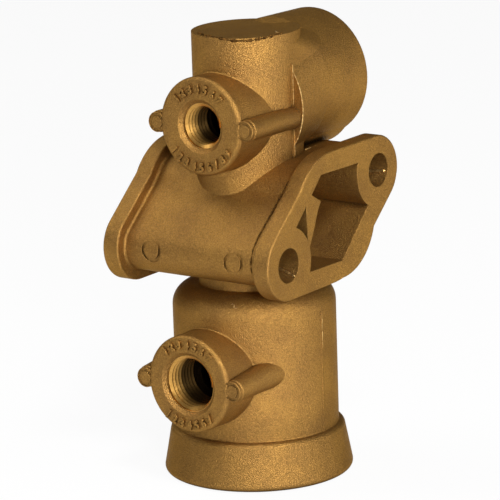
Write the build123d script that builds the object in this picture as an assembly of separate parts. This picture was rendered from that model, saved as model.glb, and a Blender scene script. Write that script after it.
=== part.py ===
from build123d import *
import math
import os

# Two-line tractor protection valve, in millimetres.
# Z is up, the two tractor ports face -Y, the mounting flanges face +X and -X.
# The origin is the centre of the round foot, on the ground.

# Foot and lower cylinder
foot_r = 28.9
foot_top_r = 26.2
foot_h = 14.4
foot_edge = 1.6
lower_r = 24.6
lower_h = 58.3
shoulder_r = 6.5

# Neck and middle body between the flanges
neck_r = 16.4
flange_span = 60.5
flange_thick = 5.6
flange_z = 80.7
flange_lip = 3.3
bolt_pitch = 50.8
bolt_line_deg = 22.5
bolt_hole_d = 10.2
ear_r = 10.8
ear_at = 24.9
flank_front_up = 19.0
flank_rear_up = 19.8
flange_disc_r = 19.75
bulge_r = 17.7
bulge_at = 3.0

# Open pockets in the flange faces
pocket_depth = 22.0
pocket_flat = 13.8
pocket_front = 14.1
pocket_rear = 12.4
pocket_slope_deg = 45
pocket_boss_r = 11.2
web_right = [(-12.8, -6.4), (-11.7, -4.5), (-9.9, -0.4), (-8.2, 3.7), (-6.6, 6.1)]
web_left = [(-11.3, 8.8), (-13.9, 9.5), (-13.9, 1.9), (-13.5, -1.8), (-13.7, -5.2)]

# Upper cylinder, its front port and the rear cylinder
upper_r = 16.2
upper_top = 134.5
top_tilt_deg = 1.35
upper_port_drop = 25.4
upper_port_y = -23.9
port_boss_r = 14.7
rear_r = 19.8
rear_rise = 7.1
rear_len = 34.4
rear_front_r = 20.0
rear_front_drop = 4.2
rear_merge_y = 14.0

# Shoulder that fairs the upper cylinder into the rear one: sections at the parting plane and behind
shoulder_front = (32.3, 24.2, 3.0)
shoulder_front_dip = 0.3
shoulder_rear = (33.0, 21.0, 10.0)
shoulder_rear_dip = 1.5
shoulder_len = 20.0

# Lower ports
lower_port_z = 33.7
lower_port_y = -34.0
rear_port_z = 20.0
rear_port_y = 27.8
rear_port_boss_r = 10.6

# Side ribs of the front port bosses, with their ejector marks
rib_r = 3.3
rib_x = 16.0
rib_edge = 0.6
rib_head_r = 3.05
rib_head = 1.2
rib_head_edge = 0.35
lower_rib_rise_deg = 3.5
mark_width = 0.8
mark_depth = 0.35
body_mark_r = 3.5
body_mark_width = 0.9
body_mark_places = [(-14.7, 71.7), (15.4, 71.3)]

# Casting radii and the flash left at the parting plane
lip_fillet = 0.8
cast_edge = 0.5
port_edge = 1.3
boss_fillet = 0.4
foot_fillet = 0.3
flash_thick = 0.7
flash_high = 0.45
flash_drop = 9.5

# Taper pipe threads, 18 threads per inch: major radius and mouth chamfer
quarter_pipe_r = 6.85
quarter_mouth_r = 8.1
quarter_depth = 12.0
three_eighth_pipe_r = 8.55
three_eighth_mouth_r = 9.7
three_eighth_depth = 13.0
air_way_r = 5.0

# Upper chamber and the passage that joins it to the piston
chamber_r = 10.5
chamber_drop = 10.6
chamber_roof_wall = 6.5
passage_r = 3.2

# Bores of the lower cylinder, from the mouth up
cap_bore_r = 20.6
cap_bore_top = 9.5
cage_bore_r = 17.0
cage_top = 42.0
piston_bore_r = 16.0
piston_roof = 53.5
rear_way_r = 3.5
rear_way_z = 17.5
rear_wall = 2.0
vent_r = 1.2
vent_reach = 2.0

# Bores of the rear cylinder
rear_bore_deep = 20.4
rear_seat_way_r = 5.0
rear_bore_r = 14.0
rear_cap_bore_r = 15.4
rear_cap_shelf_gap = 0.2

# Clearances
slide_fit = 0.05
press_gap = 0.02
thread_gap = 0.1
seat_gap = 0.02

# Rubber rings: section radius and groove room
ring_section_r = 0.89
ring_side = 0.12

# Valve cage
cage_low = 22.5
cage_seat_z = 24.0
cage_low_ring_z = 26.2
cage_top_ring_z = 40.3
cage_window_low = 28.5
cage_window_high = 38.5
cage_window_count = 6
cage_window_wide = 7.0
cage_core_r = 15.0
cage_skirt_r = 13.0
cage_hall_r = 11.0
seat_r = 8.5
seat_lip = 1.1
seat_lip_h = 0.8

# Retaining ring under the cage
snap_r = 18.1
snap_inner_r = 15.4
snap_thick = 1.3
snap_gap_wide = 9.0

# Piston
piston_lift_gap = 0.5
piston_head = 3.0
piston_skirt = 8.0
piston_skirt_r = 13.2
piston_ring_drop = 1.9
piston_stop_r = 10.0
piston_stop_wide = 2.0
stem_r = 4.0
stem_gap = 0.3

# Service valve and its rubber facing
facing_r = 10.6
facing_thick = 2.5
carrier_r = 11.6
carrier_thick = 4.0
carrier_rim = 1.2
guide_r = 4.0
guide_low = 6.5

# Screws that hold the rubber facings
screw_head_r = 4.0
screw_head_h = 1.6
screw_shank_r = 1.5
screw_shank_len = 5.0
screw_slot_wide = 0.9
screw_slot_deep = 0.7

# Bottom cap
cap_low = 1.5
cap_spigot_top = 13.0
cap_spigot_wall = 3.4
cap_tube_r = 6.6
cap_tube_top = 13.0
cap_well_low = 3.4
cap_ring_z = 11.3
spanner_hole_r = 2.2
spanner_hole_at = 13.5
spanner_hole_deep = 4.0

# Emergency valve in the rear cylinder
emergency_len = 4.6
emergency_floor = 2.4
emergency_hall_r = 11.2
flow_hole_r = 1.3
flow_hole_at = 8.5
flow_hole_count = 8
emergency_facing_r = 6.9
emergency_facing_thick = 2.2

# Rear cap
rear_cap_recess = 1.0
rear_cap_len = 9.8
rear_cap_ring_at = 1.8
rear_cap_seat = 2.0
rear_spanner_r = 1.5
rear_spanner_at = 12.5
rear_spanner_deep = 3.5

# Springs: wire radius, mean radius and turns
piston_wire_r = 0.7
piston_coil_r = 9.6
piston_turns = 3.5
service_wire_r = 0.5
service_coil_r = 9.0
service_turns = 4.0
emergency_wire_r = 0.6
emergency_coil_r = 10.2
emergency_turns = 3.0

upper_port_z = upper_top - upper_port_drop
chamber_floor = upper_port_z - chamber_drop
chamber_roof = upper_top - chamber_roof_wall
rear_z = upper_port_z + rear_rise
rear_seat_y = rear_len - rear_bore_deep
rear_cap_top = rear_len - rear_cap_recess
rear_cap_low = rear_cap_top - rear_cap_len
rear_cap_ring_y = rear_cap_low + rear_cap_ring_at
rear_cap_bore_y = rear_cap_low - rear_cap_shelf_gap
half_span = flange_span / 2
face_in = half_span - flange_thick
bolt_y = bolt_pitch / 2 * math.cos(math.radians(bolt_line_deg))
bolt_dz = bolt_pitch / 2 * math.sin(math.radians(bolt_line_deg))
bolt_places = [(-bolt_y, flange_z - bolt_dz), (bolt_y, flange_z + bolt_dz)]
piston_top = piston_roof - piston_lift_gap
facing_top = cage_seat_z - seat_lip_h - seat_gap
carrier_low = facing_top - facing_thick - carrier_thick + carrier_rim
stem_tip_z = facing_top + screw_head_h + stem_gap
emergency_face = rear_seat_y + seat_lip_h + seat_gap
emergency_y = emergency_face + emergency_facing_thick - carrier_rim


def post(radius, low, high):
    """Round bar along Z between two heights."""
    return Pos(0, 0, low) * Cylinder(radius, high - low, align=(Align.CENTER, Align.CENTER, Align.MIN))


def tube(outer, inner, low, high):
    """Ring along Z between two heights."""
    return post(outer, low, high) - post(inner, low - 1, high + 1)


def bar_y(radius, x, z, start, end):
    """Round bar along Y from start to end."""
    low = min(start, end)
    bar = Cylinder(radius, abs(end - start), align=(Align.CENTER, Align.CENTER, Align.MAX))
    return Pos(x, low, z) * Rot(90, 0, 0) * bar


def ring_y(outer, inner, z, start, end):
    """Ring along Y about the height z."""
    return bar_y(outer, 0, z, start, end) - bar_y(inner, 0, z, start - 1, end + 1)


def turned_to_y(shape, z):
    """Takes a piece that is turned about Z and lays it along +Y at the height z."""
    return Pos(0, 0, z) * Rot(-90, 0, 0) * shape


def rubber_ring(inner, height):
    """O-ring about Z whose inside rests on a groove floor."""
    return Pos(0, 0, height) * Torus(inner + ring_section_r, ring_section_r)


def groove_floor(bore):
    """Floor radius of an outer groove, so that the ring just clears its bore."""
    return bore - slide_fit - 2 * ring_section_r


def ring_groove(bore, height):
    """Cut for an O-ring in the outside of a turned piece."""
    half = ring_section_r + ring_side
    return tube(bore + 1, groove_floor(bore), height - half, height + half)


def coil_spring(wire, radius, turns, low, high):
    """Compression spring of round wire whose end coils lie against the planes low and high."""
    rise = high - low - 2 * wire
    path = Pos(0, 0, low + wire) * Helix(rise / turns, rise, radius)
    section = Plane(origin=path @ 0, z_dir=path % 0) * Circle(wire)
    return sweep(section, path=path, is_frenet=True)


def countersunk(radius, mouth, depth):
    """Straight bore along -Z from z = 0 with a conical mouth."""
    flare = mouth - radius
    bore = Cylinder(radius, depth, align=(Align.CENTER, Align.CENTER, Align.MAX))
    cone = Cone(radius, mouth, flare, align=(Align.CENTER, Align.CENTER, Align.MAX))
    return bore + cone


def front_bore(radius, mouth, depth, face_y, z):
    """Port bore that opens towards -Y."""
    return Pos(0, face_y, z) * Rot(90, 0, 0) * countersunk(radius, mouth, depth)


def rear_bore(radius, mouth, depth, face_y, z):
    """Port bore that opens towards +Y."""
    return Pos(0, face_y, z) * Rot(-90, 0, 0) * countersunk(radius, mouth, depth)


def flank_corners(inset, distance):
    """Two corners of a straight flank: where it touches the ear, and its foot on the middle."""
    ear = ear_r - inset
    lean = math.asin((distance - ear_r) / ear_at)
    reach = distance - inset
    return [
        (ear_at + ear * math.sin(lean), ear * math.cos(lean)),
        (reach * math.sin(lean), reach * math.cos(lean)),
    ]


def flange_outline(inset):
    """Slanted outline in the YZ plane: two round ears, straight flanks and a bulged middle."""
    rear = flank_corners(inset, flank_rear_up)
    front = [(-x, y) for x, y in reversed(flank_corners(inset, flank_front_up))]
    top = rear + front
    outline = Polygon(*top, *[(-x, -y) for x, y in top], align=None)
    outline += Circle(flange_disc_r - inset)
    outline += Pos(bulge_at, -bulge_at) * Circle(bulge_r - inset)
    for place in (-ear_at, ear_at):
        outline += Pos(place, 0) * Circle(ear_r - inset)
    return Plane.YZ * Pos(0, flange_z) * Rot(0, 0, bolt_line_deg) * outline


def pocket_outline():
    """Inside of the middle body, less the bolt bosses and the slanted web."""
    slope = math.radians(pocket_slope_deg)
    run = pocket_flat / math.tan(slope)
    front = pocket_front / math.sin(slope)
    rear = pocket_rear / math.sin(slope)
    top = [(run - front, pocket_flat), (run + rear, pocket_flat)]
    low = [(rear - run, -pocket_flat), (-run - front, -pocket_flat)]
    outline = Pos(0, flange_z) * Polygon(*top, *low, align=None)
    for y, z in bolt_places:
        outline -= Pos(y, z) * Circle(pocket_boss_r)
    outline -= Pos(0, flange_z) * Polygon(*web_right, *web_left, align=None)
    return Plane.YZ * outline


def middle_body():
    """Two flanges and the prism between them, with the casting radii in the corners."""
    prism = extrude(flange_outline(flange_lip), half_span, both=True)
    plate = extrude(flange_outline(0), flange_thick)
    body = prism + Pos(face_in, 0, 0) * plate + Pos(-half_span, 0, 0) * plate
    corners = []
    for face in body.faces().filter_by(Axis.X):
        if abs(face.center().X) < half_span - 0.1:
            corners += [edge for wire in face.inner_wires() for edge in wire.edges()]
    body = fillet(corners, lip_fillet)
    rims = []
    for face in body.faces().filter_by(Axis.X):
        rims += face.outer_wire().edges()
    return fillet(rims, cast_edge)


def port_boss(radius, face_y, z):
    """Round port boss along Y with a cast rounding on its face edge."""
    boss = bar_y(radius, 0, z, face_y, 0)
    return fillet(boss.edges().sort_by(Axis.Y)[0 if face_y < 0 else -1], port_edge)


def front_ribs(face_y, z, rise_deg):
    """Two cast rods beside a port boss, each with a low head that carries an ejector mark."""
    start = face_y + rib_head
    rod = Cylinder(rib_r, -start, align=(Align.CENTER, Align.CENTER, Align.MIN))
    if rise_deg:
        root_r = rib_r - start * math.tan(math.radians(rise_deg))
        rod = Cone(rib_r, root_r, -start, align=(Align.CENTER, Align.CENTER, Align.MIN))
    rod = fillet(rod.edges().sort_by(Axis.Z)[0], rib_edge)
    rod = Pos(0, start, z) * Rot(rise_deg - 90, 0, 0) * rod
    head = bar_y(rib_head_r, 0, z, face_y, start + 2 * rib_edge)
    rod += fillet(head.edges().sort_by(Axis.Y)[0], rib_head_edge)
    ring = rib_head_r - rib_head_edge
    rod -= ring_y(ring, ring - mark_width, z, face_y - 1, face_y + mark_depth)
    return Pos(-rib_x, 0, 0) * rod + Pos(rib_x, 0, 0) * rod


def blended(first, second, radius):
    """Joins two cast forms and rounds the inside corner where they meet."""
    whole = first + second
    return fillet(new_edges(first, second, combined=whole), radius)


def lower_outside():
    """Foot, lower cylinder with its ports' bosses, and neck."""
    body = post(lower_r, 0, lower_h)
    body = fillet(body.edges().sort_by(Axis.Z)[-1], shoulder_r)
    body = blended(body, port_boss(port_boss_r, lower_port_y, lower_port_z), boss_fillet)
    foot = Cone(foot_r, foot_top_r, foot_h, align=(Align.CENTER, Align.CENTER, Align.MIN))
    body = blended(body, fillet(foot.edges(), foot_edge), foot_fillet)
    body = blended(body, post(neck_r, lower_h - shoulder_r, flange_z), boss_fillet)
    body += port_boss(rear_port_boss_r, rear_port_y, rear_port_z)
    return body + front_ribs(lower_port_y, lower_port_z, lower_rib_rise_deg)


def shoulder_section(size, top, y):
    """Upright section (width, depth, corner radius) of the shoulder, across Y."""
    wide, deep, corner = size
    return Plane.XZ * Pos(0, top - deep / 2, -y) * RectangleRounded(wide, deep, corner)


def rear_cylinder():
    """Rear cylinder along Y, with the lower front that shows at the parting plane, and its shoulder."""
    low_front = Plane.XZ * Pos(0, rear_z - rear_front_drop, 0) * Circle(rear_front_r)
    merged = Plane.XZ * Pos(0, rear_z, -rear_merge_y) * Circle(rear_r)
    bar = bar_y(rear_r, 0, rear_z, rear_merge_y, rear_len)
    bar = fillet(bar.edges().sort_by(Axis.Y)[-1], cast_edge)
    near = shoulder_section(shoulder_front, upper_top - shoulder_front_dip, 0)
    far = shoulder_section(shoulder_rear, upper_top - shoulder_rear_dip, shoulder_len)
    return loft([low_front, merged]) + bar + loft([near, far], ruled=True)


def upper_outside():
    """Middle body, upper cylinder with its front boss, and the rear cylinder over its boss."""
    above = Box(4 * upper_r, 4 * upper_r, upper_r, align=(Align.CENTER, Align.CENTER, Align.MIN))
    body = post(upper_r, flange_z, upper_top + 1) - Pos(0, 0, upper_top) * Rot(top_tilt_deg, 0, 0) * above
    body += rear_cylinder()
    body = blended(body, port_boss(port_boss_r, upper_port_y, upper_port_z), boss_fillet)
    middle = middle_body()
    whole = body + middle
    seams = new_edges(body, middle, combined=whole).filter_by(GeomType.ELLIPSE)
    front = [edge for edge in seams if edge.bounding_box().max.Y < -boss_fillet]
    body = fillet(max(front, key=lambda edge: edge.length), boss_fillet)
    body += port_boss(port_boss_r, rear_len, upper_port_z)
    return body + front_ribs(upper_port_y, upper_port_z, 0)


def cast_outside():
    """Everything that the mould forms, before machining."""
    return lower_outside() + upper_outside() + parting_flash()


def parting_flash():
    """Thin ridge where the two halves of the mould met, on both sides."""
    upper_wide = 2 * (upper_r + flash_high)
    lower_wide = 2 * (lower_r + flash_high / 3)
    upper = Pos(0, 0, flange_z) * Box(
        upper_wide, flash_thick, upper_top - flash_drop - flange_z, align=(Align.CENTER, Align.CENTER, Align.MIN)
    )
    lower = Pos(0, 0, foot_h) * Box(
        lower_wide, flash_thick, lower_h - shoulder_r - foot_h, align=(Align.CENTER, Align.CENTER, Align.MIN)
    )
    return upper + lower


def pockets():
    """Open pockets in both flange faces."""
    deep = extrude(pocket_outline(), pocket_depth + 1, dir=(1, 0, 0))
    return Pos(half_span - pocket_depth, 0, 0) * deep + Pos(-half_span - 1, 0, 0) * deep


def bolt_holes():
    """Two holes right through, from flange to flange."""
    holes = Plane.YZ * Pos(*bolt_places[0]) * Circle(bolt_hole_d / 2)
    holes += Plane.YZ * Pos(*bolt_places[1]) * Circle(bolt_hole_d / 2)
    return extrude(holes, half_span + 1, both=True)


def body_marks():
    """Ejector marks on the front corner of the middle body."""
    middle_dz = ear_at * math.sin(math.radians(bolt_line_deg))
    front_y = -ear_at * math.cos(math.radians(bolt_line_deg)) - ear_r + flange_lip
    marks = []
    for x, z in body_mark_places:
        drop = flange_z - middle_dz - z
        face_y = front_y + (ear_r - flange_lip) - math.sqrt((ear_r - flange_lip) ** 2 - drop**2)
        ring = ring_y(body_mark_r, body_mark_r - body_mark_width, z, face_y - 1, face_y + 2 * mark_depth)
        marks.append(Pos(x, 0, 0) * ring)
    return marks[0] + marks[1]


def cast_body():
    """The machined casting."""
    body = cast_outside() - pockets() - bolt_holes() - body_marks()
    body -= post(chamber_r, chamber_floor, chamber_roof)
    body -= post(passage_r, piston_roof - 1, chamber_floor + 1)
    body -= post(cap_bore_r, -1, cap_bore_top)
    body -= post(cage_bore_r, cap_bore_top - 1, cage_top)
    body -= post(piston_bore_r, cage_top - 1, piston_roof)
    body -= post(snap_r + thread_gap, cage_low - snap_thick - press_gap, cage_low)
    body -= bar_y(vent_r, 0, cage_top + 2 * vent_r, piston_bore_r - vent_reach, lower_r + 1)
    body -= front_bore(quarter_pipe_r, quarter_mouth_r, quarter_depth, upper_port_y, upper_port_z)
    body -= bar_y(air_way_r, 0, upper_port_z, upper_port_y + quarter_depth - 1, 0)
    body -= front_bore(three_eighth_pipe_r, three_eighth_mouth_r, three_eighth_depth, lower_port_y, lower_port_z)
    body -= bar_y(air_way_r, 0, lower_port_z, lower_port_y + three_eighth_depth - 1, -cage_core_r)
    rear_depth = rear_port_y - cage_bore_r - rear_wall
    body -= rear_bore(three_eighth_pipe_r, three_eighth_mouth_r, rear_depth, rear_port_y, rear_port_z)
    body -= bar_y(rear_way_r, 0, rear_way_z, cage_core_r, rear_port_y - rear_depth + 1)
    body -= bar_y(rear_bore_r, 0, rear_z, rear_seat_y, rear_len)
    body -= bar_y(rear_cap_bore_r, 0, rear_z, rear_cap_bore_y, rear_len + 1)
    body += ring_y(rear_seat_way_r + seat_lip, rear_seat_way_r, rear_z, rear_seat_y, rear_seat_y + seat_lip_h)
    body -= bar_y(rear_seat_way_r, 0, rear_z, 0, rear_seat_y + seat_lip_h)
    return body


def valve_cage():
    """Turned cage: stem guide at the top, windows in the middle, service seat below."""
    outer = cage_bore_r - slide_fit
    cage = post(outer, cage_low, cage_top)
    cage -= tube(outer + 1, cage_core_r, cage_window_low, cage_window_high)
    cage -= post(cage_hall_r, cage_window_low, cage_window_high)
    cage -= post(seat_r, cage_low - 1, cage_window_low + 1)
    cage -= post(cage_skirt_r, cage_low - 1, cage_seat_z)
    cage += tube(seat_r + seat_lip, seat_r, cage_seat_z - seat_lip_h, cage_seat_z)
    cage -= post(stem_r + slide_fit, cage_window_high - 1, cage_top + 1)
    cage -= ring_groove(cage_bore_r, cage_low_ring_z)
    cage -= ring_groove(cage_bore_r, cage_top_ring_z)
    half = ring_section_r + ring_side
    stem_groove_r = stem_r + slide_fit + 2 * ring_section_r
    cage -= post(stem_groove_r, cage_top_ring_z - half, cage_top_ring_z + half)
    window_mid = (cage_window_low + cage_window_high) / 2
    window_high = cage_window_high - cage_window_low
    window = Pos(cage_core_r, 0, window_mid) * Box(cage_core_r, cage_window_wide, window_high)
    for turn in range(cage_window_count):
        cage -= Rot(0, 0, turn * 360 / cage_window_count + 90) * window
    return cage


def cage_retaining_ring():
    """Open spring ring that lies in the bore groove and carries the cage."""
    ring = tube(snap_r, snap_inner_r, cage_low - snap_thick, cage_low)
    gap = Pos(-snap_r, 0, cage_low) * Box(snap_r, snap_gap_wide, 4 * snap_thick)
    return ring - gap


def piston():
    """Piston head with its ring groove, hollow skirt, stop ring and stem."""
    outer = piston_bore_r - slide_fit
    body = post(outer, piston_top - piston_skirt, piston_top)
    body -= post(piston_skirt_r, piston_top - piston_skirt - 1, piston_top - piston_head)
    body += post(stem_r, stem_tip_z, piston_top - piston_head + 1)
    body -= ring_groove(piston_bore_r, piston_top - piston_ring_drop)
    stop = tube(piston_stop_r, piston_stop_r - piston_stop_wide, piston_top - 1, piston_roof - press_gap)
    return body + stop


def facing_screw(top):
    """Slotted screw whose head holds a rubber facing down at z = top."""
    screw = post(screw_head_r, top, top + screw_head_h)
    screw = fillet(screw.edges().sort_by(Axis.Z)[-1], screw_head_h / 4)
    screw += post(screw_shank_r, top - screw_shank_len, top)
    slot = Pos(0, 0, top + screw_head_h) * Box(2 * screw_head_r + 1, screw_slot_wide, 2 * screw_slot_deep)
    return screw - slot


def facing(radius, thick, top):
    """Rubber disc with a hole for its screw."""
    return tube(radius, screw_shank_r + press_gap, top - thick, top)


def service_valve():
    """Brass poppet: a dished head for the rubber facing and a guide stem below."""
    valve = post(carrier_r, carrier_low, carrier_low + carrier_thick)
    valve -= post(facing_r + press_gap, facing_top - facing_thick, carrier_low + carrier_thick + 1)
    valve += post(guide_r, guide_low, carrier_low + 1)
    valve -= post(screw_shank_r + press_gap, facing_top - screw_shank_len - press_gap, facing_top)
    return valve


def bottom_cap():
    """Screwed cap with a spigot for its ring, a guide tube and two spanner holes."""
    cap = post(cap_bore_r - thread_gap, cap_low, cap_bore_top - press_gap)
    spigot = cage_bore_r - slide_fit
    cap += tube(spigot, spigot - cap_spigot_wall, cap_bore_top - 1, cap_spigot_top)
    cap += post(cap_tube_r, cap_bore_top - 1, cap_tube_top)
    cap -= post(guide_r + slide_fit, cap_well_low, cap_tube_top + 1)
    cap -= ring_groove(cage_bore_r, cap_ring_z)
    for side in (-1, 1):
        cap -= Pos(side * spanner_hole_at, 0, 0) * post(spanner_hole_r, cap_low - 1, cap_low + spanner_hole_deep)
    return cap


def emergency_valve():
    """Brass carrier with a dished face for its rubber and a ring of flow holes."""
    outer = rear_bore_r - slide_fit
    valve = post(outer, emergency_y, emergency_y + emergency_len)
    valve -= post(emergency_facing_r + press_gap, emergency_y - 1, emergency_y + carrier_rim)
    valve -= post(emergency_hall_r, emergency_y + emergency_floor, emergency_y + emergency_len + 1)
    valve += post(screw_head_r, emergency_y + carrier_rim, emergency_y + emergency_len)
    valve -= post(screw_shank_r + press_gap, emergency_y, emergency_face + screw_shank_len + press_gap)
    hole = Pos(flow_hole_at, 0, 0) * post(flow_hole_r, emergency_y - 1, emergency_y + emergency_len)
    for turn in range(flow_hole_count):
        valve -= Rot(0, 0, turn * 360 / flow_hole_count) * hole
    return turned_to_y(valve, rear_z)


def emergency_screw():
    """The facing screw, head towards the front port."""
    screw = Pos(0, 0, emergency_face) * Rot(180, 0, 0) * facing_screw(0)
    return turned_to_y(screw, rear_z)


def rear_cap():
    """Screwed cap with the trailer emergency port through it and two spanner holes."""
    cap = post(rear_cap_bore_r - thread_gap, rear_cap_low, rear_cap_top)
    cap -= post(emergency_hall_r, rear_cap_low - 1, rear_cap_low + rear_cap_seat)
    cap -= Pos(0, 0, rear_cap_top) * countersunk(three_eighth_pipe_r, three_eighth_mouth_r, rear_cap_top)
    half = ring_section_r + ring_side
    floor = rear_cap_bore_r - thread_gap - 2 * ring_section_r
    cap -= tube(rear_cap_bore_r + 1, floor, rear_cap_ring_y - half, rear_cap_ring_y + half)
    for side in (-1, 1):
        cap -= Pos(side * rear_spanner_at, 0, 0) * post(
            rear_spanner_r, rear_cap_top - rear_spanner_deep, rear_cap_top + 1
        )
    return turned_to_y(cap, rear_z)


def rear_rubber_ring():
    """O-ring in the groove of the rear cap."""
    floor = rear_cap_bore_r - thread_gap - 2 * ring_section_r
    return turned_to_y(rubber_ring(floor, rear_cap_ring_y), rear_z)


spring_seat = piston_top - piston_head
emergency_seat = emergency_y + emergency_floor
emergency_coil = coil_spring(
    emergency_wire_r, emergency_coil_r, emergency_turns, emergency_seat, rear_cap_low + rear_cap_seat
)
pieces = {
    "cast_body": cast_body(),
    "bottom_cap": bottom_cap(),
    "bottom_cap_o_ring": rubber_ring(groove_floor(cage_bore_r), cap_ring_z),
    "valve_cage": valve_cage(),
    "cage_upper_o_ring": rubber_ring(groove_floor(cage_bore_r), cage_top_ring_z),
    "cage_lower_o_ring": rubber_ring(groove_floor(cage_bore_r), cage_low_ring_z),
    "cage_retaining_ring": cage_retaining_ring(),
    "stem_o_ring": rubber_ring(stem_r + slide_fit, cage_top_ring_z),
    "piston": piston(),
    "piston_o_ring": rubber_ring(groove_floor(piston_bore_r), piston_top - piston_ring_drop),
    "piston_spring": coil_spring(piston_wire_r, piston_coil_r, piston_turns, cage_top, spring_seat),
    "service_valve": service_valve(),
    "service_valve_disc": facing(facing_r, facing_thick, facing_top),
    "service_disc_screw": facing_screw(facing_top),
    "service_valve_spring": coil_spring(service_wire_r, service_coil_r, service_turns, cap_bore_top, carrier_low),
    "rear_cap": rear_cap(),
    "rear_cap_o_ring": rear_rubber_ring(),
    "emergency_valve": emergency_valve(),
    "emergency_valve_disc": turned_to_y(
        facing(emergency_facing_r, emergency_facing_thick, emergency_face + emergency_facing_thick), rear_z
    ),
    "emergency_disc_screw": emergency_screw(),
    "emergency_valve_spring": turned_to_y(emergency_coil, rear_z),
}

os.makedirs("parts", exist_ok=True)
for name, piece in pieces.items():
    export_step(piece, f"parts/{name}.step")
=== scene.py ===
import bpy
import bmesh
import math
import random
from mathutils import Matrix, Vector


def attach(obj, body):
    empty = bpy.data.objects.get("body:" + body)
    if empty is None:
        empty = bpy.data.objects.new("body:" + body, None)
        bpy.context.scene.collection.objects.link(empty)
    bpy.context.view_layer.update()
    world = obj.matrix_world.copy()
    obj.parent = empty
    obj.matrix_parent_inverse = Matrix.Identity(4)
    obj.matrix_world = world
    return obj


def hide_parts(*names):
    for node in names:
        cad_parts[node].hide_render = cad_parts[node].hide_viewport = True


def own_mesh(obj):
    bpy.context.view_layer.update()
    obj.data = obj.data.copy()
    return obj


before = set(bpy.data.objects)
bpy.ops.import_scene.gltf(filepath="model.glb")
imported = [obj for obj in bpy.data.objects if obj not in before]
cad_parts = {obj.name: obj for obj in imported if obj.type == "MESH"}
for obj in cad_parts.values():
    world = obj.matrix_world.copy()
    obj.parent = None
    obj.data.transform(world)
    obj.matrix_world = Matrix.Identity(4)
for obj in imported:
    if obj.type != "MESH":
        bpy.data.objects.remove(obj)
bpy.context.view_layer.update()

# The body is one sand casting of red brass, with a flared foot, a valve cylinder, two slanted
# flanges with open pockets, and two round port heads. It is blasted with fine grit and left bare,
# so the eye sees a dull gold skin with tiny bright facets and slow patches of deeper brown.


def linear(code):
    """Linear colour, with full alpha, of an sRGB hex code."""
    parts = [int(code[i:i + 2], 16) / 255 for i in (1, 3, 5)]
    return [c / 12.92 if c <= 0.04045 else ((c + 0.055) / 1.055) ** 2.4 for c in parts] + [1.0]


def add(tree, kind, inputs=None, stops=(), **settings):
    """Adds one node. Inputs are values or other nodes' outputs, stops are the places and hex
    colours of a colour ramp, and settings are the node's own properties."""
    node = tree.nodes.new(kind)
    for name, value in settings.items():
        setattr(node, name, value)
    for socket, value in (inputs or {}).items():
        if isinstance(value, bpy.types.NodeSocket):
            tree.links.new(value, node.inputs[socket])
        else:
            node.inputs[socket].default_value = value
    for count, (position, code) in enumerate(stops):
        node.color_ramp.elements[count].position = position
        node.color_ramp.elements[count].color = linear(code)
    return node


def new_material(name):
    """Material with an empty node tree, and that tree."""
    material = bpy.data.materials.new(name)
    material.use_nodes = True
    material.node_tree.nodes.clear()
    return material, material.node_tree


def dress(node, material):
    """Gives a CAD node its material."""
    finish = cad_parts[node].data.materials
    finish.clear()
    finish.append(material)


cast_brass, tree = new_material("blasted_cast_brass")
place = add(tree, "ShaderNodeTexCoord").outputs["Object"]
# Slow patches about 12 mm across come from uneven blasting and handling.
patches = add(tree, "ShaderNodeTexNoise", {
    "Vector": place, "Scale": 85.0, "Detail": 3.0, "Roughness": 0.55})
tone = add(tree, "ShaderNodeValToRGB", {"Fac": patches.outputs["Fac"]}, stops=[
    (0.34, "#8e6937"), (0.66, "#9d753b")])
# Grit marks are about 0.2 mm across; they are drawn 0.35 mm across so that the picture shows them.
grit = add(tree, "ShaderNodeTexNoise", {
    "Vector": place, "Scale": 2900.0, "Detail": 2.0, "Roughness": 0.6})
dark = add(tree, "ShaderNodeMapRange", {
    "Value": grit.outputs["Fac"],
    "From Min": 0.36, "From Max": 0.64, "To Min": 0.82, "To Max": 1.18})
spark = add(tree, "ShaderNodeTexVoronoi", {"Vector": place, "Scale": 2800.0}, feature="F1")
fleck = add(tree, "ShaderNodeMapRange", {
    "Value": spark.outputs["Color"], "To Min": 0.80, "To Max": 1.20})
grain = add(tree, "ShaderNodeMath", {
    0: dark.outputs["Result"], 1: fleck.outputs["Result"]}, operation="MULTIPLY")
grained = add(tree, "ShaderNodeVectorMath", {
    0: tone.outputs["Color"], "Scale": grain.outputs[0]}, operation="SCALE")
# The foot, up to about 22 mm high, is painted a little darker: painted shade that dims its
# highlight.
spot = add(tree, "ShaderNodeSeparateXYZ", {"Vector": place})
painted_foot_shade = add(tree, "ShaderNodeMapRange", {
    "Value": spot.outputs["Z"],
    "From Min": 0.018, "From Max": 0.024, "To Min": 0.84, "To Max": 1.0})
foot_shaded_colour = add(tree, "ShaderNodeVectorMath", {
    0: grained.outputs["Vector"], "Scale": painted_foot_shade.outputs["Result"]}, operation="SCALE")
# Ambient occlusion darkens the corners, creases and gaps under the flanges: painted shade.
corner = add(tree, "ShaderNodeAmbientOcclusion", {"Distance": 0.003}, samples=8)
painted_corner_shade = add(tree, "ShaderNodeMapRange", {
    "Value": corner.outputs["AO"],
    "From Min": 0.20, "From Max": 0.65, "To Min": 0.15, "To Max": 1.0})
# The painted corner shade darkens the skin colour here.
blasted = add(tree, "ShaderNodeVectorMath", {
    0: foot_shaded_colour.outputs["Vector"], "Scale": painted_corner_shade.outputs["Result"]}, operation="SCALE")
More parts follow.
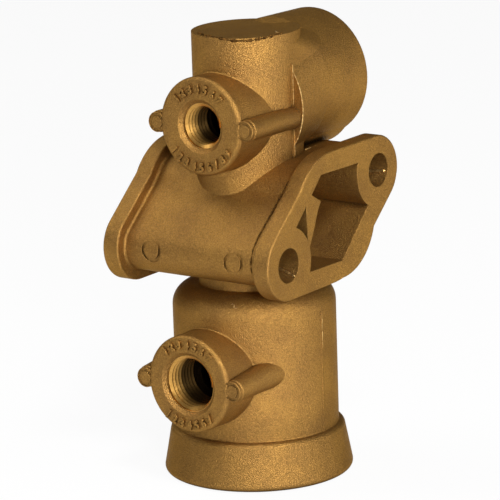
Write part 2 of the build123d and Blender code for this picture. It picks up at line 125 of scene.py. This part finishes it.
# The walls of the two front bores are painted near black: painted shade deep in the bores.
front_half = add(tree, "ShaderNodeMath", {0: spot.outputs["Y"], 1: 0.0}, operation="LESS_THAN")
bore_shaded_colour = blasted.outputs["Vector"]
for bore_z, shaded_r in ((0.1091, 0.00692), (0.0337, 0.00862)):
    flattened = add(tree, "ShaderNodeMapping", {
        "Vector": place, "Location": (0, 0, -bore_z), "Scale": (1, 0, 1)})
    from_axis = add(tree, "ShaderNodeVectorMath", {
        0: flattened.outputs["Vector"]}, operation="LENGTH")
    inside = add(tree, "ShaderNodeMath", {
        0: from_axis.outputs["Value"], 1: shaded_r}, operation="LESS_THAN")
    bore_shade = add(tree, "ShaderNodeMath", {
        0: inside.outputs[0], 1: front_half.outputs[0]}, operation="MULTIPLY")
    # Painted shade: inside the bores the colour is mixed towards near black.
    bore_shaded_colour = add(tree, "ShaderNodeMix", {
        "Factor": bore_shade.outputs[0], "A": bore_shaded_colour, "B": linear("#20160a")},
        data_type="RGBA").outputs["Result"]
facet = add(tree, "ShaderNodeMapRange", {
    "Value": spark.outputs["Distance"],
    "From Min": 0.10, "From Max": 0.45, "To Min": 0.28, "To Max": 0.45})
# Every cast edge is rounded by about a third of a millimetre.
rounded = add(tree, "ShaderNodeBevel", {"Radius": 0.00035}, samples=6)
# The sand mould leaves low waves about 5 mm long, and the grit leaves pits on them.
waves = add(tree, "ShaderNodeTexNoise", {"Vector": place, "Scale": 190.0, "Detail": 2.0})
soft = add(tree, "ShaderNodeBump", {
    "Height": waves.outputs["Fac"], "Strength": 0.25, "Distance": 0.0003,
    "Normal": rounded.outputs["Normal"]})
pits = add(tree, "ShaderNodeBump", {
    "Height": grit.outputs["Fac"], "Strength": 1.0, "Distance": 0.00024,
    "Normal": soft.outputs["Normal"]})
shader = add(tree, "ShaderNodeBsdfPrincipled", {
    "Base Color": bore_shaded_colour, "Specular Tint": linear("#c4b090"), "Metallic": 0.85,
    "Roughness": facet.outputs["Result"], "Normal": pits.outputs["Normal"]})
add(tree, "ShaderNodeOutputMaterial", {"Surface": shader.outputs["BSDF"]})
dress("cast_body", cast_brass)

# The raised figures on the two front port faces are cast with the body and have its finish. They
# stand about 0.7 mm proud of the rough face, in two arcs round each mouth, and are plain counting
# figures only.
figure_high = 2.9
figure_proud = 0.6
figure_sunk = 0.15
figure_bold = 0.15
figure_rounding = 0.09
# Shares: of the typeface's own width, and of the text size that a figure's height takes up.
figure_narrowing = 0.88
height_to_text_size = 0.72
# Each head has its face's y and its mouth's height in mm, and its arcs of figures. Each arc has its
# radius in mm, its figures, and its first and last angle in degrees.
port_heads = {
    "upper": (-23.9, 109.1, [(11.2, "1234567", 135, 48), (12.1, "123456789", 219, 325)]),
    "lower": (-34.0, 33.7, [(12.1, "1234567", 130, 48), (12.2, "1234567", 233, 310)]),
}


def figure_mesh(character):
    """One raised figure in the XY plane, centred, with slightly rounded edges."""
    text = bpy.data.curves.new("figure", "FONT")
    text.body = character
    text.size = figure_high / height_to_text_size
    text.align_x = "CENTER"
    text.extrude = (figure_proud + figure_sunk) / 2
    text.offset = figure_bold
    text.bevel_depth = figure_rounding
    text.bevel_resolution = 1
    text.resolution_u = 3
    holder = bpy.data.objects.new("figure", text)
    bpy.context.scene.collection.objects.link(holder)
    view = bpy.context.evaluated_depsgraph_get()
    mesh = bpy.data.meshes.new_from_object(holder.evaluated_get(view))
    bpy.data.objects.remove(holder)
    across = [vertex.co.x for vertex in mesh.vertices]
    upward = [vertex.co.y for vertex in mesh.vertices]
    middle = Vector(((min(across) + max(across)) / 2, (min(upward) + max(upward)) / 2, 0))
    tall = max(upward) - min(upward)
    fitted = Matrix.Diagonal((figure_narrowing * figure_high / tall, figure_high / tall, 1, 1))
    mesh.transform(fitted @ Matrix.Translation(-middle))
    return mesh


def join_meshes(name, meshes):
    """One mesh object from several meshes whose places are already in them."""
    whole = bmesh.new()
    for mesh in meshes:
        whole.from_mesh(mesh)
    bmesh.ops.remove_doubles(whole, verts=whole.verts, dist=1e-7)
    bmesh.ops.recalc_face_normals(whole, faces=whole.faces)
    joined = bpy.data.meshes.new(name)
    whole.to_mesh(joined)
    whole.free()
    piece = bpy.data.objects.new(name, joined)
    bpy.context.scene.collection.objects.link(piece)
    return piece


for head, (face_y, mouth_z, arcs) in port_heads.items():
    upright = Matrix.Translation((0, face_y, mouth_z)) @ Matrix.Rotation(math.radians(90), 4, "X")
    figures = []
    for arc_r, characters, first, last in arcs:
        for count, character in enumerate(characters):
            angle = first + (last - first) * count / (len(characters) - 1)
            turn = angle - 90 if angle < 180 else angle + 90
            on_arc = Matrix.Translation((
                arc_r * math.cos(math.radians(angle)), arc_r * math.sin(math.radians(angle)),
                (figure_proud - figure_sunk) / 2))
            placed = upright @ on_arc @ Matrix.Rotation(math.radians(turn), 4, "Z")
            mesh = figure_mesh(character)
            mesh.transform(Matrix.Scale(0.001, 4) @ placed)
            figures.append(mesh)
    piece = join_meshes(f"{head}_port_figures", figures)
    piece.data.materials.append(cast_brass)
    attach(piece, "housing")

# Fins of brass stood out where mould halves and cores met. They were knocked off, and their broken
# crests are painted bright: fresh metal, and partly a painted highlight where they catch the light.
# Sand burnt on round the top's rim stays dark and dull; the dark line behind a flange is painted
# shadow.
fin_brass_and_highlight, tree = new_material("broken_brass_fins_and_highlight")
place = add(tree, "ShaderNodeTexCoord").outputs["Object"]
# Torn flakes are about 0.7 mm across.
flakes = add(tree, "ShaderNodeTexNoise", {"Vector": place, "Scale": 1500.0, "Detail": 2.0})
# The bright end of this ramp is partly a painted highlight.
torn_and_highlight_colour = add(tree, "ShaderNodeValToRGB", {"Fac": flakes.outputs["Fac"]}, stops=[
    (0.35, "#a97f43"), (0.65, "#dcb878")])
torn = add(tree, "ShaderNodeMapRange", {
    "Value": flakes.outputs["Fac"], "To Min": 0.30, "To Max": 0.50})
shader = add(tree, "ShaderNodeBsdfPrincipled", {
    "Base Color": torn_and_highlight_colour.outputs["Color"], "Metallic": 0.9,
    "Roughness": torn.outputs["Result"]})
add(tree, "ShaderNodeOutputMaterial", {"Surface": shader.outputs["BSDF"]})

# This dark matt finish also paints the shadow along the seam behind the right flange.
sand_and_shadow_dark, tree = new_material("burnt_sand_and_painted_shadow")
place = add(tree, "ShaderNodeTexCoord").outputs["Object"]
# Sand grains, fused in clumps about 0.7 mm across.
crust = add(tree, "ShaderNodeTexNoise", {"Vector": place, "Scale": 1400.0, "Detail": 3.0})
soot_and_shadow_tone = add(tree, "ShaderNodeValToRGB", {"Fac": crust.outputs["Fac"]}, stops=[
    (0.38, "#2f1f0d"), (0.68, "#6b4a22")])
shader = add(tree, "ShaderNodeBsdfPrincipled", {
    "Base Color": soot_and_shadow_tone.outputs["Color"], "Specular IOR Level": 0.0, "Roughness": 0.9})
add(tree, "ShaderNodeOutputMaterial", {"Surface": shader.outputs["BSDF"]})

# Each bead has rings of six points 0.45 mm apart, and ends at three tenths of its thickness.
bead_step = 0.45
bead_sides = 6
bead_tip = 0.3


def bead(line, thick, uneven, seed):
    """Thin closed string of metal along a line of points in mm. Its thickness in mm varies by
    chance, by the share that uneven gives."""
    chance = random.Random(seed)
    spots = []
    for start, end in zip(line, line[1:]):
        start, end = Vector(start), Vector(end)
        parts = max(1, round((end - start).length / bead_step))
        spots += [start.lerp(end, k / parts) for k in range(parts)]
    spots.append(Vector(line[-1]))
    last = len(spots) - 1
    turns = [2 * math.pi * j / bead_sides for j in range(bead_sides)]
    shape = bmesh.new()
    hoops = []
    for k, spot in enumerate(spots):
        ahead = spots[min(k + 1, last)] - spots[max(k - 1, 0)]
        across = ahead.to_track_quat("Z", "Y").to_matrix()
        reach = thick / 2 * (1 + uneven * chance.uniform(-1, 1))
        reach *= bead_tip if k in (0, last) else 1
        hoops.append([
            shape.verts.new(spot + across @ Vector((reach * math.cos(t), reach * math.sin(t), 0)))
            for t in turns])
    for here, after in zip(hoops, hoops[1:]):
        for j in range(bead_sides):
            shape.faces.new((here[j], here[j - 1], after[j - 1], after[j]))
    shape.faces.new(hoops[0])
    shape.faces.new(hoops[-1])
    bmesh.ops.recalc_face_normals(shape, faces=shape.faces)
    mesh = bpy.data.meshes.new("bead")
    shape.to_mesh(mesh)
    shape.free()
    mesh.transform(Matrix.Scale(0.001, 4))
    return mesh


# Parting lines run up the right side of both upright cylinders, and round the front edge of the
# rear cylinder. A ridge runs along each bolt hole of the right flange. Small fins and chips are on
# the neck, under the rear cylinder and on the top's rim.
rear_r = 20
rear_z = 112
rear_edge = [
    (rear_r * math.cos(angle), -0.05, rear_z + rear_r * math.sin(angle))
    for angle in [math.radians(degrees) for degrees in range(33, -34, -3)]]
fins = [
    bead([(16.62, 0, 125.0), (16.62, 0, 113.0)], 0.42, 0.25, 1),
    bead([(16.62, 0, 105.4), (16.62, 0, 97.7)], 0.42, 0.25, 2),
    bead(rear_edge, 0.34, 0.6, 3),
    bead([(24.78, 0, 51.5), (24.78, 0, 40.0)], 0.24, 0.8, 4),
    bead([(23.3, -19.1, 68.5), (26.65, -19.6, 67.85), (30.1, -20.1, 67.05)], 0.7, 0.3, 5),
    bead([(23.4, 28.25, 88.4), (26.5, 28.4, 88.7), (29.4, 28.5, 89.1)], 1.1, 0.15, 6),
    bead([(7.42, -21.75, 56.07), (7.86, -21.34, 56.33), (8.61, -21.39, 55.99),
          (8.56, -21.84, 55.47), (9.34, -21.67, 55.23), (9.8, -21.28, 55.5)], 0.45, 0.3, 7),
    bead([(13.45, 9.58, 97.42), (13.35, 11.02, 97.46), (12.96, 13.38, 97.51)], 0.55, 0.5, 8),
    bead([(12.8, 15.6, 97.55), (12.6, 16.6, 97.58)], 0.4, 0.5, 9),
    bead([(10.66, 0.04, 134.47), (12.2, -1.4, 134.45), (13.65, -2.11, 134.42)], 0.4, 0.4, 10),
]
# Sand lies along the front of the top's rim and in one pit of the middle body. The dark line along
# the seam behind the right flange is a painted shadow of the flange's lip, in the same dark finish.
crusts_and_seam_shadow = [
    bead([(-8.95, -11.47, 134.2), (-4.07, -14.52, 134.13), (2.4, -15.86, 134.1),
          (6.91, -14.65, 133.5), (10.57, -12.27, 133.53), (12.99, -9.67, 133.9),
          (14.52, -6.8, 134.31), (14.9, -2.0, 134.4)], 0.75, 0.5, 11),
    bead([(13.05, -15.05, 88.32), (13.35, -15.05, 88.32)], 0.6, 0.2, 12),
    # Painted shadow: this dark bead lies along the seam behind the right flange's lip.
    bead([(22.25, -11.12, 92.8), (21.6, -14.38, 88.9), (21.55, -18.49, 85.2),
          (21.35, -22.32, 81.8), (21.3, -25.85, 78.65), (21.6, -28.85, 75.75),
          (21.85, -30.3, 72.58), (21.9, -30.1, 69.0)], 0.7, 0.2, 13),
]
for name, beads, finish in (
    ("casting_fins", fins, fin_brass_and_highlight),
    ("sand_crust_and_seam_shadow", crusts_and_seam_shadow, sand_and_shadow_dark),
):
    piece = join_meshes(name, beads)
    piece.data.materials.append(finish)
    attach(piece, "housing")

# The four pipe threads are cut straight into the casting or the rear cap with a tapered tap, 18
# threads to the inch, after a 45 degree mouth is bored. Fresh cut flanks are bright yellow and
# stand out from the dull skin. Sizes are in mm.
pitch = 25.4 / 18
ridge_high = 0.85
ridge_wide = 0.94 * pitch
crest_share = 0.16
# The radius shrinks by one part in 32 of the depth.
taper = 32
thread_start = 0.35 * pitch
bore_skin = 0.12
bore_sides = 96
sides_to_a_turn = 72

cut_brass, tree = new_material("freshly_cut_brass")
place = add(tree, "ShaderNodeTexCoord").outputs["Object"]
# Tool marks about 0.6 mm long break the brightness of the flanks.
marks = add(tree, "ShaderNodeTexNoise", {"Vector": place, "Scale": 1600.0, "Detail": 2.0})
cut_colour = add(tree, "ShaderNodeValToRGB", {"Fac": marks.outputs["Fac"]}, stops=[
    (0.35, "#bd8d45"), (0.65, "#d0a055")])
# Painted shade darkens deeper flanks: the attribute holds each point's depth from the face in mm.
bore_depth = add(tree, "ShaderNodeAttribute", attribute_name="depth", attribute_type="GEOMETRY")
depth_shade = add(tree, "ShaderNodeMapRange", {
    "Value": bore_depth.outputs["Fac"],
    "From Min": 3.0, "From Max": 7.5, "To Min": 0.0, "To Max": 0.95})
# Painted shade: deeper flanks are mixed towards near black.
depth_shaded_colour = add(tree, "ShaderNodeMix", {
    "Factor": depth_shade.outputs["Result"], "A": cut_colour.outputs["Color"], "B": linear("#1c1309")},
    data_type="RGBA")
polish = add(tree, "ShaderNodeMapRange", {
    "Value": marks.outputs["Fac"], "To Min": 0.28, "To Max": 0.36})
nicks = add(tree, "ShaderNodeBump", {
    "Height": marks.outputs["Fac"], "Strength": 0.15, "Distance": 0.00004})
shader = add(tree, "ShaderNodeBsdfPrincipled", {
    "Base Color": depth_shaded_colour.outputs["Result"], "Metallic": 1.0,
    "Roughness": polish.outputs["Result"], "Normal": nicks.outputs["Normal"]})
add(tree, "ShaderNodeOutputMaterial", {"Surface": shader.outputs["BSDF"]})

thread = bpy.data.node_groups.new("pipe_thread", "GeometryNodeTree")
thread.is_modifier = True
thread.interface.new_socket(name="Geometry", in_out="OUTPUT", socket_type="NodeSocketGeometry")
for name, kind in (
    ("Mouth radius", "NodeSocketFloat"), ("Inner radius", "NodeSocketFloat"),
    ("Depth", "NodeSocketFloat"), ("Turns", "NodeSocketFloat"),
    ("Ridge height", "NodeSocketFloat"), ("Ridge width", "NodeSocketFloat"),
    ("Finish", "NodeSocketMaterial"),
):
    thread.interface.new_socket(name=name, in_out="INPUT", socket_type=kind)
given = add(thread, "NodeGroupInput")
path = add(thread, "GeometryNodeCurveSpiral", {
    "Resolution": sides_to_a_turn, "Rotations": given.outputs["Turns"],
    "Start Radius": given.outputs["Mouth radius"], "End Radius": given.outputs["Inner radius"],
    "Height": given.outputs["Depth"]})
upward_path = add(thread, "GeometryNodeSetCurveNormal", {
    "Curve": path.outputs["Curve"]}, mode="Z_UP")
crest = add(thread, "ShaderNodeMath", {
    0: given.outputs["Ridge width"], 1: crest_share}, operation="MULTIPLY")
wedge = add(thread, "GeometryNodeCurvePrimitiveQuadrilateral", {
    "Height": given.outputs["Ridge height"], "Bottom Width": given.outputs["Ridge width"],
    "Top Width": crest.outputs[0], "Offset": 0.0}, mode="TRAPEZOID")
ridge = add(thread, "GeometryNodeTransform", {
    "Geometry": wedge.outputs["Curve"], "Rotation": (0, 0, -math.pi / 2)})
swept = add(thread, "GeometryNodeCurveToMesh", {
    "Curve": upward_path.outputs[0], "Profile Curve": ridge.outputs["Geometry"],
    "Fill Caps": True})
flat = add(thread, "GeometryNodeSetShadeSmooth", {
    "Geometry": swept.outputs["Mesh"], "Shade Smooth": False})
real = add(thread, "GeometryNodeRealizeInstances", {"Geometry": flat.outputs[0]})
painted = add(thread, "GeometryNodeSetMaterial", {
    "Geometry": real.outputs["Geometry"], "Material": given.outputs["Finish"]})
add(thread, "NodeGroupOutput", {"Geometry": painted.outputs["Geometry"]})


def from_tree(name, group, values):
    """Plain mesh made by a geometry tree with the given values for its named inputs."""
    holder = bpy.data.objects.new(name, bpy.data.meshes.new(name))
    bpy.context.scene.collection.objects.link(holder)
    grower = holder.modifiers.new("grow", "NODES")
    grower.node_group = group
    for item in group.interface.items_tree:
        if item.in_out == "INPUT" and item.name in values:
            grower[item.identifier] = values[item.name]
    view = bpy.context.evaluated_depsgraph_get()
    mesh = bpy.data.meshes.new_from_object(holder.evaluated_get(view))
    holder.modifiers.remove(grower)
    bpy.data.objects.remove(holder)
    return mesh


def lathe(section, steps):
    """Closed ring turned about Z from a closed section of (radius, height) points."""
    shape = bmesh.new()
    rows = []
    for step in range(steps):
        angle = 2 * math.pi * step / steps
        rows.append([
            shape.verts.new((r * math.cos(angle), r * math.sin(angle), h)) for r, h in section])
    for here, after in zip(rows, rows[1:] + rows[:1]):
        for i in range(len(section)):
            j = (i + 1) % len(section)
            shape.faces.new((here[i], after[i], after[j], here[j]))
    bmesh.ops.recalc_face_normals(shape, faces=shape.faces)
    mesh = bpy.data.meshes.new("ring")
    shape.to_mesh(mesh)
    shape.free()
    return mesh


def cut_thread(name, bore_r, mouth_r, deep, short, to_place, body):
    """Bore skin and thread ridge, modelled along -Z from the face at z = 0. The ridge ends short
    of the bore's end, by that many pitches."""
    flare = mouth_r - bore_r
    skin_r = bore_r - bore_skin
    ring = lathe([(bore_r, -flare), (bore_r, -deep), (skin_r, -deep), (skin_r, -flare)], bore_sides)
    run = deep - flare - short * pitch
    start_r = skin_r - ridge_high / 2
    helix = from_tree(name, thread, {
        "Mouth radius": start_r, "Inner radius": start_r - run / taper, "Depth": run,
        "Turns": round(run / pitch, 2), "Ridge height": ridge_high, "Ridge width": ridge_wide,
        "Finish": cut_brass})
    into_bore = Matrix.Translation((0, 0, -flare - thread_start)) @ Matrix.Rotation(math.pi, 4, "X")
    helix.transform(into_bore)
    for mesh in (ring, helix):
        mesh.transform(Matrix.Scale(0.001, 4) @ to_place)
    piece = join_meshes(name, [ring, helix])
    piece.data.materials.clear()
    piece.data.materials.append(cut_brass)
    back = to_place.inverted()
    depths = [-(back @ (vertex.co * 1000)).z for vertex in piece.data.vertices]
    piece.data.attributes.new("depth", "FLOAT", "POINT").data.foreach_set("value", depths)
    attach(piece, body)


to_front = Matrix.Rotation(math.radians(90), 4, "X")
to_back = Matrix.Rotation(math.radians(-90), 4, "X")
for name, bore_r, mouth_r, deep, short, face_y, mouth_z, facing in (
    ("thread_upper_front", 6.85, 8.1, 12.0, 0.2, -23.9, 109.1, to_front),
    ("thread_lower_front", 8.55, 9.7, 13.0, 0.2, -34.0, 33.7, to_front),
    ("thread_lower_rear", 8.55, 9.7, 8.8, 0.9, 27.8, 20.0, to_back),
    ("thread_rear_cap", 8.55, 9.7, 7.8, 0.9, 33.4, 116.2, to_back),
):
    to_place = Matrix.Translation((0, face_y, mouth_z)) @ facing
    cut_thread(name, bore_r, mouth_r, deep, short, to_place, "housing")

# Cage, piston, valves and the two screwed caps are turned from free-cutting brass bar and fitted
# from below and behind. Turning leaves very fine rings round the axis and a bright yellow colour.
# Feed marks are about 0.15 mm apart; they are drawn 1 mm apart so that they show.
feed_apart = 0.001
# A wave texture at scale 1 has this many rings to the metre.
rings_to_a_metre = 20 / (2 * math.pi)
for name, axis, axis_z, owners in (
    ("turned_brass_upright", "Z", 0.0, ("bottom_cap", "valve_cage", "piston", "service_valve")),
    ("turned_brass_lying", "Y", 0.1162, ("rear_cap", "emergency_valve")),
):
    turned_brass, tree = new_material(name)
    place = add(tree, "ShaderNodeTexCoord").outputs["Object"]
    centred = add(tree, "ShaderNodeMapping", {"Vector": place, "Location": (0, 0, -axis_z)})
    rings = add(tree, "ShaderNodeTexWave", {
        "Vector": centred.outputs["Vector"], "Scale": 1 / (feed_apart * rings_to_a_metre),
        "Distortion": 0.6, "Detail": 1.0}, wave_type="RINGS", rings_direction=axis)
    # Faint stains are about 6 mm across.
    stain = add(tree, "ShaderNodeTexNoise", {"Vector": place, "Scale": 160.0, "Detail": 3.0})
    hue = add(tree, "ShaderNodeValToRGB", {"Fac": stain.outputs["Fac"]}, stops=[
        (0.3, "#b58b48"), (0.7, "#d0a862")])
    sheen = add(tree, "ShaderNodeMapRange", {
        "Value": rings.outputs["Fac"], "To Min": 0.24, "To Max": 0.36})
    feed = add(tree, "ShaderNodeBump", {
        "Height": rings.outputs["Fac"], "Strength": 0.2, "Distance": 0.00004})
    shader = add(tree, "ShaderNodeBsdfPrincipled", {
        "Base Color": hue.outputs["Color"], "Metallic": 1.0,
        "Roughness": sheen.outputs["Result"], "Normal": feed.outputs["Normal"]})
    add(tree, "ShaderNodeOutputMaterial", {"Surface": shader.outputs["BSDF"]})
    for owner in owners:
        dress(owner, turned_brass)

# The rings and facings are moulded in black nitrile rubber and pressed into their grooves and
# seats. They look matt, with a faint grey bloom of talc in patches about 4 mm across.
rubber, tree = new_material("moulded_nitrile_rubber")
place = add(tree, "ShaderNodeTexCoord").outputs["Object"]
bloom = add(tree, "ShaderNodeTexNoise", {"Vector": place, "Scale": 260.0, "Detail": 4.0})
talc = add(tree, "ShaderNodeValToRGB", {"Fac": bloom.outputs["Fac"]}, stops=[
    (0.45, "#171717"), (0.75, "#2b2a28")])
matt = add(tree, "ShaderNodeMapRange", {
    "Value": bloom.outputs["Fac"], "To Min": 0.45, "To Max": 0.7})
moulded = add(tree, "ShaderNodeBump", {
    "Height": bloom.outputs["Fac"], "Strength": 0.15, "Distance": 0.0001})
shader = add(tree, "ShaderNodeBsdfPrincipled", {
    "Base Color": talc.outputs["Color"], "Roughness": matt.outputs["Result"],
    "Normal": moulded.outputs["Normal"]})
add(tree, "ShaderNodeOutputMaterial", {"Surface": shader.outputs["BSDF"]})
for owner in (
    "bottom_cap_o_ring", "cage_upper_o_ring", "cage_lower_o_ring", "stem_o_ring", "piston_o_ring",
    "rear_cap_o_ring", "service_valve_disc", "emergency_valve_disc",
):
    dress(owner, rubber)

# The springs and the retaining ring are drawn spring steel, coiled or bent, oiled and left bare.
# They look grey, with faint cloudy marks about 1 mm long.
spring_steel, tree = new_material("drawn_spring_steel")
place = add(tree, "ShaderNodeTexCoord").outputs["Object"]
clouds = add(tree, "ShaderNodeTexNoise", {"Vector": place, "Scale": 900.0, "Detail": 2.0})
steel_colour = add(tree, "ShaderNodeValToRGB", {"Fac": clouds.outputs["Fac"]}, stops=[
    (0.3, "#6d6e72"), (0.7, "#a3a4a8")])
drawn = add(tree, "ShaderNodeMapRange", {
    "Value": clouds.outputs["Fac"], "To Min": 0.25, "To Max": 0.4})
shader = add(tree, "ShaderNodeBsdfPrincipled", {
    "Base Color": steel_colour.outputs["Color"], "Metallic": 1.0,
    "Roughness": drawn.outputs["Result"]})
add(tree, "ShaderNodeOutputMaterial", {"Surface": shader.outputs["BSDF"]})
dress("cage_retaining_ring", spring_steel)
# Each spring has its joint, its axis, its fixed end and its valve's travel, the last two in metres.
for owner, joint, along, fixed_end, travel in (
    ("piston_spring", "piston_slide", (0, 0, 1), 0.042, 0.003),
    ("service_valve_spring", "service_valve_slide", (0, 0, 1), 0.0095, 0.003),
    ("emergency_valve_spring", "emergency_valve_slide", (0, 1, 0), 0.0256, 0.0025),
):
    dress(owner, spring_steel)
    coils = bpy.data.objects.new(f"{owner}_coils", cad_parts[owner].data.copy())
    bpy.context.scene.collection.objects.link(coils)
    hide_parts(owner)
    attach(coils, "housing")
    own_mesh(coils)

# The two facings are held by small slotted screws in zinc plated steel, screwed into the valves.
# The plating gives them a thin bluish shine, with cloudy patches about 1.4 mm across.
zinc_plate, tree = new_material("zinc_plated_steel")
place = add(tree, "ShaderNodeTexCoord").outputs["Object"]
cloud = add(tree, "ShaderNodeTexNoise", {"Vector": place, "Scale": 700.0, "Detail": 2.0})
plate_colour = add(tree, "ShaderNodeValToRGB", {"Fac": cloud.outputs["Fac"]}, stops=[
    (0.3, "#a9adb4"), (0.7, "#cfd2d6")])
glaze = add(tree, "ShaderNodeMapRange", {
    "Value": cloud.outputs["Fac"], "To Min": 0.22, "To Max": 0.34})
shader = add(tree, "ShaderNodeBsdfPrincipled", {
    "Base Color": plate_colour.outputs["Color"], "Metallic": 1.0,
    "Roughness": glaze.outputs["Result"]})
add(tree, "ShaderNodeOutputMaterial", {"Surface": shader.outputs["BSDF"]})
for owner in ("service_disc_screw", "emergency_disc_screw"):
    dress(owner, zinc_plate)

# The stage is a wide white table with the valve's own soft shadow on it. Part of its white is its
# own, seen by the camera and in reflections only, and the rest is the lamps' light.
table_reach = 6
table_z = -0.0002
own_white = 0.92
floor_mesh = bpy.data.meshes.new("floor")
floor_mesh.from_pydata(
    [(-table_reach, -table_reach, table_z), (table_reach, -table_reach, table_z),
     (table_reach, table_reach, table_z), (-table_reach, table_reach, table_z)],
    [], [(0, 1, 2, 3)])
floor = bpy.data.objects.new("floor", floor_mesh)
bpy.context.scene.collection.objects.link(floor)
white_table, tree = new_material("white_table")
ray = add(tree, "ShaderNodeLightPath")
seen = add(tree, "ShaderNodeMath", {
    0: ray.outputs["Is Camera Ray"], 1: ray.outputs["Is Glossy Ray"]}, operation="MAXIMUM")
shown = add(tree, "ShaderNodeMath", {
    0: seen.outputs[0], 1: ray.outputs["Is Transmission Ray"]}, operation="MAXIMUM")
share = add(tree, "ShaderNodeMath", {0: shown.outputs[0], 1: own_white}, operation="MULTIPLY")
paper = add(tree, "ShaderNodeBsdfDiffuse", {"Color": (0.85, 0.85, 0.85, 1)})
white = add(tree, "ShaderNodeEmission", {"Color": (1, 1, 1, 1), "Strength": 1.0})
mixed = add(tree, "ShaderNodeMixShader", {
    "Fac": share.outputs[0], 1: paper.outputs[0], 2: white.outputs[0]})
add(tree, "ShaderNodeOutputMaterial", {"Surface": mixed.outputs[0]})
floor.data.materials.append(white_table)

# The light is plain and soft: a dim white room, and four round soft boxes aimed at the middle of
# the valve.
world = bpy.data.worlds.new("soft_room")
world.use_nodes = True
background = world.node_tree.nodes["Background"]
background.inputs["Color"].default_value = (1, 1, 1, 1)
background.inputs["Strength"].default_value = 0.15
bpy.context.scene.world = world

lit_point = Vector((0, 0, 0.07))
# Each box has its turn from the front towards +X and its height angle in degrees, its distance and
# width in metres, and its power in watts.
for name, turn, high, far, wide, watts in (
    ("key_box", 46, 12, 1.2, 0.24, 12.3),
    ("high_box", 54, 50, 1.2, 0.3, 8.5),
    ("right_box", 100, 9, 1.2, 0.5, 4.6),
    ("top_left_box", 292, 52, 1.2, 0.7, 5.5),
):
    light = bpy.data.lights.new(name, "AREA")
    light.shape = "DISK"
    light.size = wide
    light.energy = watts
    box = bpy.data.objects.new(name, light)
    bpy.context.scene.collection.objects.link(box)
    a, e = math.radians(turn), math.radians(high)
    outward = Vector((math.sin(a) * math.cos(e), -math.cos(a) * math.cos(e), math.sin(e)))
    box.location = lit_point + far * outward
    box.rotation_euler = (-outward).to_track_quat("-Z", "Y").to_euler()

# The camera stands to the right of the front ports and a little above them, about a metre away with
# a long lens, and leans by a small roll, as in the photograph.
stands_at = (0.5504, -0.7405, 0.2848)
turned_right = 36.672
looks_down = 13.263
roll = -1.827
camera_data = bpy.data.cameras.new("camera")
camera_data.sensor_width = 36.0
camera_data.lens = 227.63
camera_data.clip_start = 0.05
camera = bpy.data.objects.new("camera", camera_data)
bpy.context.scene.collection.objects.link(camera)
aimed = (
    Matrix.Rotation(math.radians(turned_right), 4, "Z")
    @ Matrix.Rotation(math.radians(90 - looks_down), 4, "X"))
camera.matrix_world = (
    Matrix.Translation(stands_at) @ aimed @ Matrix.Rotation(math.radians(roll), 4, "Z"))
bpy.context.scene.camera = camera
bpy.context.scene.view_settings.view_transform = "Standard"
